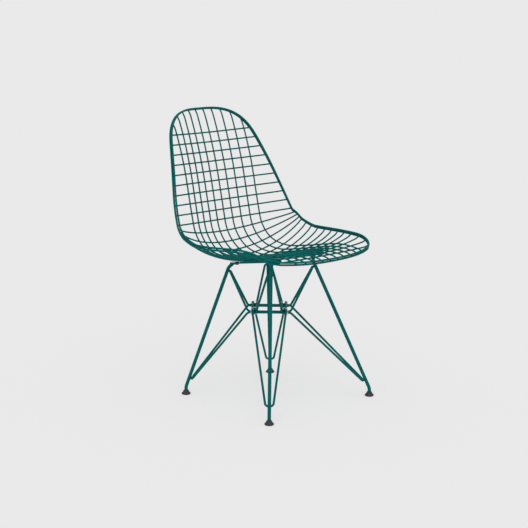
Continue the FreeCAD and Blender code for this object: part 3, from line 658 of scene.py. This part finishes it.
def mitred(points):
    """An outline with the outward direction of each corner, as long as its mitre."""
    ahead = unit(np.roll(points, -1, axis=0) - points)
    after = np.column_stack([ahead[:, 1], -ahead[:, 0]])
    before = np.roll(after, 1, axis=0)
    return points, (before + after) / (1 + np.sum(before * after, axis=1, keepdims=True))


rail_shape = bevelled(mitred(rail_outline()), -RAIL_WIDTH / 2, RAIL_WIDTH / 2, EASED_EDGE)
on_edge = Matrix.Rotation(math.pi / 2, 4, "X")
for word, side in SIDES.items():
    rail = made(f"rail_{word}", [rail_shape], [rail_frame(side) @ on_edge], POWDER_COAT)
    on_chair(rail, "teal_paint", f"mounting_rail_{word}")

# Plates, washers and screws. Four small steel plates are welded under the grid. A rubber washer lies
# between each plate and its rail, and a black socket screw comes up through all three from below.

PLATE_LENGTH = 0.04
PLATE_WIDTH = 0.02
PLATE_THICKNESS = 0.0016
PLATE_CORNER = 0.0025
PLATE_EASE = 0.0003
WASHER_RADIUS = 0.006
WASHER_THICKNESS = 0.001
WASHER_BULGE = 0.0002
HOLE_RADIUS = 0.0032
SCREW_RADIUS = 0.003
HEAD_RADIUS = 0.00525
HEAD_HEIGHT = 0.003
SOCKET_RADIUS = 0.0023
SOCKET_DEPTH = 0.0018
SOCKET_LIP = 0.0002
CROWN_WIDTH = 0.0016
CROWN_HEIGHT = 0.0014
SCREW_CHAMFER = 0.0005
SCREW_PLACES = [
    (side, along, height)
    for side in SIDES.values()
    for along, height in zip((0, SCREW_SPAN), RAIL_HEIGHTS)
]


def rounded_box(x_low, x_high, half_width, radius, steps=6):
    """Outline of a rectangle with rounded corners: its points and their outward directions."""
    points = []
    outward = []
    middles = ((x_high, 1, 0), (x_low, 1, 90), (x_low, -1, 180), (x_high, -1, 270))
    for x, sign, start in middles:
        centre = (x - math.copysign(radius, x - (x_low + x_high) / 2), sign * (half_width - radius))
        for n in range(steps + 1):
            turn = math.radians(start + 90 * n / steps)
            outward.append((math.cos(turn), math.sin(turn)))
            points.append((centre[0] + radius * math.cos(turn), centre[1] + radius * math.sin(turn)))
    return np.array(points), np.array(outward)


def grained(name, dark, light, roughness, scale, depth, metallic=0.0, specular=0.5):
    """A finish with a fine grain and slightly uneven tone."""
    material, graph, shader = new_material(name)
    place = graph.node("ShaderNodeTexCoord")["Object"]
    cloud = graph.node("ShaderNodeTexNoise", {}, {"Vector": place, "Scale": scale / 18, "Detail": 3.0})["Fac"]
    grain = graph.node("ShaderNodeTexNoise", {}, {"Vector": place, "Scale": scale, "Detail": 2.0})["Fac"]
    stops = ((0.3, (*dark, 1)), (0.7, (*light, 1)))
    colour = graph.node("ShaderNodeValToRGB", {"stops": stops}, {"Fac": cloud})
    bump = graph.node("ShaderNodeBump", {}, {"Height": grain, "Strength": 0.5, "Distance": depth})
    feed(graph, shader, Base_Color=colour["Color"], Roughness=roughness + 0.15 * cloud,
         Normal=bump["Normal"], Metallic=metallic, Specular_IOR_Level=specular)
    return material


RUBBER = grained("black_rubber", (0.012, 0.012, 0.012), (0.02, 0.02, 0.02), 0.7, 1500, 0.0001, specular=0.2)
BLACK_SCREW = grained("black_oxide", (0.008, 0.008, 0.009), (0.014, 0.014, 0.015), 0.35, 2200, 0.00003)

plate_outline = rounded_box(-PLATE_LENGTH / 2, PLATE_LENGTH / 2, PLATE_WIDTH / 2, PLATE_CORNER)
plate_shape = bevelled(plate_outline, 0, PLATE_THICKNESS, PLATE_EASE)
plates = made("plates", [plate_shape],
              [rail_frame(side, along, height + WASHER_THICKNESS) for side, along, height in SCREW_PLACES],
              POWDER_COAT)
on_chair(plates, "teal_paint", "shell_mounting_plates")


washer_rings = [ring(HOLE_RADIUS, WASHER_THICKNESS), ring(HOLE_RADIUS, 0)]
for n in range(7):
    swell = WASHER_BULGE * (math.sin(math.pi * n / 6) - 1)
    washer_rings.append(ring(WASHER_RADIUS + swell, WASHER_THICKNESS * n / 6))
washers = made("washers", [lofted(washer_rings, looped=True)],
               [rail_frame(side, along, height) for side, along, height in SCREW_PLACES], RUBBER)
on_chair(washers, "black_rubber", "rubber_washers")


def hexagon(radius, height, steps=32):
    """A hexagon with as many points as a ring, for the socket."""
    turn = np.arange(steps) * 2 * math.pi / steps
    across = radius * math.cos(math.pi / 6) / np.cos((turn % (math.pi / 3)) - math.pi / 6)
    return np.stack([across * np.cos(turn), across * np.sin(turn), np.full(steps, height)], axis=-1)


def screw_shape(length):
    """A screw with a rounded head and a hexagon socket, its head below."""
    rings = [
        hexagon(SOCKET_RADIUS * 0.25, SOCKET_DEPTH - HEAD_HEIGHT),
        hexagon(SOCKET_RADIUS, SOCKET_DEPTH - HEAD_HEIGHT),
        hexagon(SOCKET_RADIUS, SOCKET_LIP - HEAD_HEIGHT),
        ring(SOCKET_RADIUS + 2 * SOCKET_LIP, -HEAD_HEIGHT),
    ]
    for n in range(6):
        turn = math.radians(18 * n)
        crown = HEAD_RADIUS - CROWN_WIDTH * (1 - math.sin(turn))
        rings.append(ring(crown, CROWN_HEIGHT * (1 - math.cos(turn)) - HEAD_HEIGHT))
    rings += [ring(HEAD_RADIUS, -SOCKET_LIP), ring(HEAD_RADIUS - SOCKET_LIP, 0), ring(SCREW_RADIUS, 0)]
    rings += [ring(SCREW_RADIUS, length - SCREW_CHAMFER), ring(SCREW_RADIUS - SCREW_CHAMFER, length)]
    return lofted(rings)


screw_solids = []
for side, along, height in SCREW_PLACES:
    points, faces = screw_shape(height + WASHER_THICKNESS + PLATE_THICKNESS)
    matrix = np.array(rail_frame(side, along))
    screw_solids.append((points @ matrix[:3, :3].T + matrix[:3, 3], faces))
screws = made("screws", screw_solids, [Matrix.Identity(4)], BLACK_SCREW)
on_chair(screws, "black_screw", "mounting_screws")

# Legs. Four round steel rods, each bent just above its glide so that it stands upright in it, and bent
# again under the rail that it is welded to with a small fillet all round.

LEG_DIAMETER = 0.0101
LEG_BEND = 0.024
LEG_PATHS = {
    "front": ((0.2091, -0.2405, 0.006), (0.2091, -0.2405, 0.0236), (0.0858, -0.11893, 0.41038),
              (0.0858, -0.12393, 0.42538)),
    "rear": ((0.1759, 0.1437, 0.006), (0.1759, 0.1437, 0.0236), (0.08103, 0.06193, 0.38405),
             (0.07303, 0.05393, 0.39405)),
}
FILLET = 0.0018
FILLET_DEPTH = 0.001
FILLET_RAISE = 0.0002


def leg_path(side, end):
    """Corners of a leg's middle line, from its foot to the rail."""
    return [mirrored(Vector(corner), side) for corner in LEG_PATHS[end]]


def trimmed(piece, frame, along):
    """Draw the end of a rod that stands out over a plane back onto it, along the rod."""
    square = frame.to_3x3() @ Vector((0, 0, 1))
    for vertex in piece.data.vertices:
        over = (vertex.co - frame.translation).dot(square)
        if over > 0:
            vertex.co -= along * (over / along.dot(square))


def fillet_shape(spread):
    """A weld's fillet: a low collar with a hollow flank, wider by a share along its X axis."""
    rings = []
    for n in range(6):
        turn = math.radians(18 * n)
        radius = LEG_DIAMETER / 2 + FILLET * (1 - math.sin(turn))
        rings.append(ring(radius, -FILLET * (1 - math.cos(turn))))
    rings.append(ring(LEG_DIAMETER / 2 - FILLET_DEPTH, -FILLET))
    rings.append(ring(LEG_DIAMETER / 2 - FILLET_DEPTH, 0))
    points, faces = lofted(rings, looped=True)
    return points * np.array([spread, 1, 1]), faces


for end in LEG_PATHS:
    for word, side in SIDES.items():
        path = leg_path(side, end)
        above = (path[-1] - path[-2]).normalized()
        frame_under = rail_frame(side)
        frame_under.translation = path[-1]
        leg = bent_rods(f"{end}_{word}_leg", [path[:-1] + [path[-1] + above * LEG_DIAMETER]], LEG_DIAMETER,
                        POWDER_COAT, sides=24, bends=[0, LEG_BEND, LEG_BEND, 0])
        trimmed(leg, frame_under, above)
        on_chair(leg, "teal_paint", f"leg_{end}_{word}")
        square = frame_under.to_3x3() @ Vector((0, 0, 1))
        spread = 1 / above.dot(square)
        collar = made(f"{end}_{word}_leg_weld", [fillet_shape(spread)],
                      [stood(path[-1] + square * FILLET_RAISE, above, square)], POWDER_COAT)
        on_chair(collar, "teal_paint")

# Glides. A moulded black plastic foot is pressed onto each leg's end: a flat base with a rounded edge and
# a hollow flank that rises to a short collar around the rod.

GLIDE_HEIGHT = 0.013
GLIDE_PROFILE = (
    (0.004, 0.0009), (0.0075, 0.0006), (0.0084, 0), (0.0112, 0), (0.0124, 0.0006), (0.0132, 0.0018),
    (0.0135, 0.0033), (0.0134, 0.0042), (0.0128, 0.0051), (0.0116, 0.006), (0.0102, 0.0073),
    (0.0091, 0.0089), (0.0083, 0.0107), (0.0078, 0.0124), (0.0073, GLIDE_HEIGHT), (0.0062, GLIDE_HEIGHT),
    (0.0052, 0.0124), (0.0052, 0.007), (0.004, 0.0068),
)
CORE_RADIUS = 0.0041
CORE_HEIGHTS = (0.0012, 0.0066)
BLACK_PLASTIC = grained("black_plastic", (0.012, 0.012, 0.013), (0.019, 0.019, 0.02), 0.45, 1200, 0.00006)

glide_shape = lofted([ring(radius, height, 40) for radius, height in GLIDE_PROFILE], looped=True)
glide_core = lofted([ring(CORE_RADIUS, height, 40) for height in CORE_HEIGHTS])
for end in LEG_PATHS:
    for word, side in SIDES.items():
        foot = leg_path(side, end)[0]
        glide = made(f"{end}_{word}_glide", [glide_shape, glide_core],
                     [Matrix.Translation((foot.x, foot.y, 0))], BLACK_PLASTIC)
        on_chair(glide, "black_plastic", f"glide_{end}_{word}")

# Braces. Four closed rings of thinner rod run along the two diagonals between the feet. Each reaches a
# front leg and the opposite rear leg with a narrow hoop welded to its inner side, the lower two near the
# floor and the upper two under the rails; all four lie level where they cross in the middle.

BRACE_DIAMETER = 0.0065
BRACE_LEVEL = 0.262
BRACE_HALF_LENGTH = 0.062
BRACE_GAPS = {"lower": 0.049, "upper": 0.037}
HOOP_HALF_WIDTHS = {"lower": 0.011, "upper": 0.009}
HOOP_HEIGHTS = {"lower": (0.051, 0.051), "upper": (0.39338, 0.37555)}
HOOP_WELD = (0.0055, 0.0026, 0.0042)
CROSSING_SET_BACK = 0.0049
BRACE_BEND = 0.014
PLAY = 0.0001
UP = Vector((0, 0, 1))

front_foot = leg_path(1, "front")[0]
rear_foot = leg_path(-1, "rear")[0]
crossing_share = rear_foot.x / (rear_foot.x - front_foot.x)
crossing_y = rear_foot.y + (front_foot.y - rear_foot.y) * crossing_share + CROSSING_SET_BACK


def diagonal(side):
    """Level direction from a rear foot to the front foot on the given side."""
    return mirrored(Vector((front_foot.x - rear_foot.x, front_foot.y - rear_foot.y, 0)), side).normalized()


def beside(side, along, across, height):
    """Point beside a diagonal."""
    return Vector((0, crossing_y, height)) + diagonal(side) * along + UP.cross(diagonal(side)) * across


def hoop_middle(side, end, height):
    """Middle of a hoop against the inner side of a leg, and where the two touch."""
    path = leg_path(side, end)
    share = (height - path[1].z) / (path[2].z - path[1].z)
    on_leg = path[1].lerp(path[2], share)
    upward = (path[2] - path[1]).normalized()
    inward = Vector((-on_leg.x, crossing_y - on_leg.y, 0))
    square = (inward - upward * inward.dot(upward)).normalized()
    return on_leg + square * ((LEG_DIAMETER + BRACE_DIAMETER) / 2 + PLAY), on_leg + square * LEG_DIAMETER / 2


def ball(steps=12, rows=7):
    """Points and faces of a ball with a radius of one."""
    turns = [math.pi * (n + 0.5) / rows for n in range(rows)]
    return lofted([ring(math.sin(turn), math.cos(turn), steps) for turn in turns])


hoop_welds = []
for level_name, gap in BRACE_GAPS.items():
    for word, side in SIDES.items():
        level = BRACE_LEVEL + (BRACE_DIAMETER + PLAY if side < 0 else 0)
        hoop = HOOP_HALF_WIDTHS[level_name]
        across = UP.cross(diagonal(side)) * hoop
        front_height, rear_height = HOOP_HEIGHTS[level_name]
        front_hoop, front_touch = hoop_middle(side, "front", front_height)
        rear_hoop, rear_touch = hoop_middle(-side, "rear", rear_height)
        path = [
            beside(side, BRACE_HALF_LENGTH, -gap, level),
            front_hoop - across,
            front_hoop + across,
            beside(side, BRACE_HALF_LENGTH, gap, level),
            beside(side, -BRACE_HALF_LENGTH, gap, level),
            rear_hoop + across,
            rear_hoop - across,
            beside(side, -BRACE_HALF_LENGTH, -gap, level),
        ]
        brace = bent_rods(f"{level_name}_{word}_brace", [path], BRACE_DIAMETER, POWDER_COAT, sides=20,
                          bends=[BRACE_BEND, hoop, hoop, BRACE_BEND] * 2, closed=True)
        on_chair(brace, "teal_paint", f"{level_name}_brace_front_{word}")
        for touch in (front_touch, rear_touch):
            hoop_welds.append(stood(touch, across, UP, HOOP_WELD))
on_chair(made("hoop_welds", [ball()], hoop_welds, POWDER_COAT), "teal_paint")

# Crossing plugs and clips. Where the braces cross, a square rubber plug fills the opening between the four
# rods, and a closed loop of bright spring wire around all of them, drawn in over their tops, holds them.

CLIP_DIAMETER = 0.0015
CLIP_LOW = 0.25535
CLIP_HIGH = 0.27525
CLIP_HALF_WIDTH = 0.01471
CLIP_TOP_HALF_WIDTH = 0.0045
CLIP_SHOULDER = 0.2728
CLIP_CORNERS = (0.0025, 0.0025, 0.0015, 0.0025, 0.0025, 0.0015)
PLUG_HALF_WIDTH = 0.00265
PLUG_CORNER = 0.0008
PLUG_EASE = 0.0005
PLUG_LOW = 0.25625
PLUG_CENTRE = (BRACE_GAPS["lower"] + BRACE_GAPS["upper"]) / 2
CROSSINGS = [(u * PLUG_CENTRE, v * PLUG_CENTRE) for u in (1, -1) for v in (1, -1)]
SPRING_WIRE = grained("bright_wire", (0.78, 0.78, 0.76), (0.88, 0.88, 0.86), 0.3, 2600, 0.00002,
                      metallic=1.0)

plug_outline = rounded_box(-PLUG_HALF_WIDTH, PLUG_HALF_WIDTH, PLUG_HALF_WIDTH, PLUG_CORNER, 3)
plug_shape = bevelled(plug_outline, PLUG_LOW, BRACE_LEVEL + BRACE_DIAMETER, PLUG_EASE)
plug_places = [stood(beside(1, along, across, 0), diagonal(1), UP) for along, across in CROSSINGS]
on_chair(made("plugs", [plug_shape], plug_places, RUBBER), "black_rubber", "crossing_plugs")

clip_paths = []
for along, across in CROSSINGS:
    foot = beside(1, along, across, CLIP_LOW)
    outward = (foot - beside(1, 0, 0, CLIP_LOW)).normalized()
    wide = outward * CLIP_HALF_WIDTH
    narrow = outward * CLIP_TOP_HALF_WIDTH
    shoulder = foot + UP * (CLIP_SHOULDER - CLIP_LOW)
    top = foot + UP * (CLIP_HIGH - CLIP_LOW)
    over = [shoulder + wide, top + narrow, top - narrow, shoulder - wide]
    clip_paths.append([foot - wide, foot + wide] + over)
clips = bent_rods("clips", clip_paths, CLIP_DIAMETER, SPRING_WIRE, sides=12, bends=CLIP_CORNERS, closed=True)
on_chair(clips, "bright_wire", "crossing_clips")

# Floor, backdrop, light and camera. The chair stands free on a pale floor in front of a backdrop of the
# same tone. The light is very soft, and the floor glows a little, so that only a faint shadow is left.

BACKDROP = 0.828
FLOOR_GLOW = 0.7
FILL = 0.72
SUN = 0.9
SUN_SPREAD = math.radians(60)
SUN_TURN = (math.radians(20), math.radians(-22), 0)
AZIMUTH = math.radians(-44.4)
ELEVATION = math.radians(11.07)
ROLL = math.radians(0.39)
CAMERA_DISTANCE = 4.44867
CAMERA_TARGET = Vector((0, 0.0223, 0.42))
LENS = 103.04
SENSOR_WIDTH = 36
SHIFT = (0.0115, -0.0198)
FLOOR_REACH = 40



def seen_directly(graph):
    """One where the camera, or a reflection, sees a surface, and zero for the light that it gives."""
    ray = graph.node("ShaderNodeLightPath")
    return ray["Is Camera Ray"].larger(ray["Is Glossy Ray"])


floor_mesh = bpy.data.meshes.new("floor")
corners = [(x * FLOOR_REACH, y * FLOOR_REACH, 0) for x, y in ((-1, -1), (1, -1), (1, 1), (-1, 1))]
floor_mesh.from_pydata(corners, [], [(0, 1, 2, 3)])
floor = bpy.data.objects.new("floor", floor_mesh)
bpy.context.scene.collection.objects.link(floor)
floor_material, graph, shader = new_material("floor_paper")
feed(graph, shader, Base_Color=(BACKDROP, BACKDROP, BACKDROP, 1), Roughness=0.9, Specular_IOR_Level=0.0)
glow = graph.node("ShaderNodeEmission", {}, {"Color": (BACKDROP, BACKDROP, BACKDROP, 1), "Strength": 1})
mixed = graph.node("ShaderNodeMixShader", {}, {
    0: seen_directly(graph) * FLOOR_GLOW,
    1: Value(graph, shader.outputs["BSDF"]),
    2: glow["Emission"],
})
graph.tree.links.new(mixed["Shader"].socket, graph.tree.nodes["Material Output"].inputs["Surface"])
floor_mesh.materials.append(floor_material)

world = bpy.data.worlds.new("studio")
bpy.context.scene.world = world
world.use_nodes = True
graph = Graph(world.node_tree)
world.node_tree.nodes.clear()
lit = graph.node("ShaderNodeBackground", {}, {"Color": (1, 1, 1, 1), "Strength": FILL})
shown = graph.node("ShaderNodeBackground", {}, {"Color": (BACKDROP, BACKDROP, BACKDROP, 1), "Strength": 1})
mixed = graph.node("ShaderNodeMixShader", {}, {
    0: seen_directly(graph),
    1: lit["Background"],
    2: shown["Background"],
})
graph.node("ShaderNodeOutputWorld", {}, {"Surface": mixed["Shader"]})

sun_data = bpy.data.lights.new("soft_key", "SUN")
sun_data.energy = SUN
sun_data.angle = SUN_SPREAD
sun = bpy.data.objects.new("soft_key", sun_data)
sun.rotation_euler = SUN_TURN
bpy.context.scene.collection.objects.link(sun)

back = Vector((
    math.sin(AZIMUTH) * math.cos(ELEVATION),
    -math.cos(AZIMUTH) * math.cos(ELEVATION),
    math.sin(ELEVATION),
))
right = Vector((math.cos(AZIMUTH), math.sin(AZIMUTH), 0))
up = back.cross(right)
rolled_right = right * math.cos(ROLL) + up * math.sin(ROLL)
rolled_up = up * math.cos(ROLL) - right * math.sin(ROLL)
camera_data = bpy.data.cameras.new("camera")
camera_data.sensor_width = SENSOR_WIDTH
camera_data.lens = LENS
camera_data.shift_x, camera_data.shift_y = SHIFT
camera = bpy.data.objects.new("camera", camera_data)
placed = Matrix((rolled_right, rolled_up, back)).transposed().to_4x4()
placed.translation = CAMERA_TARGET + back * CAMERA_DISTANCE
camera.matrix_world = placed
bpy.context.scene.collection.objects.link(camera)
bpy.context.scene.camera = camera
bpy.context.scene.view_settings.view_transform = "Standard"
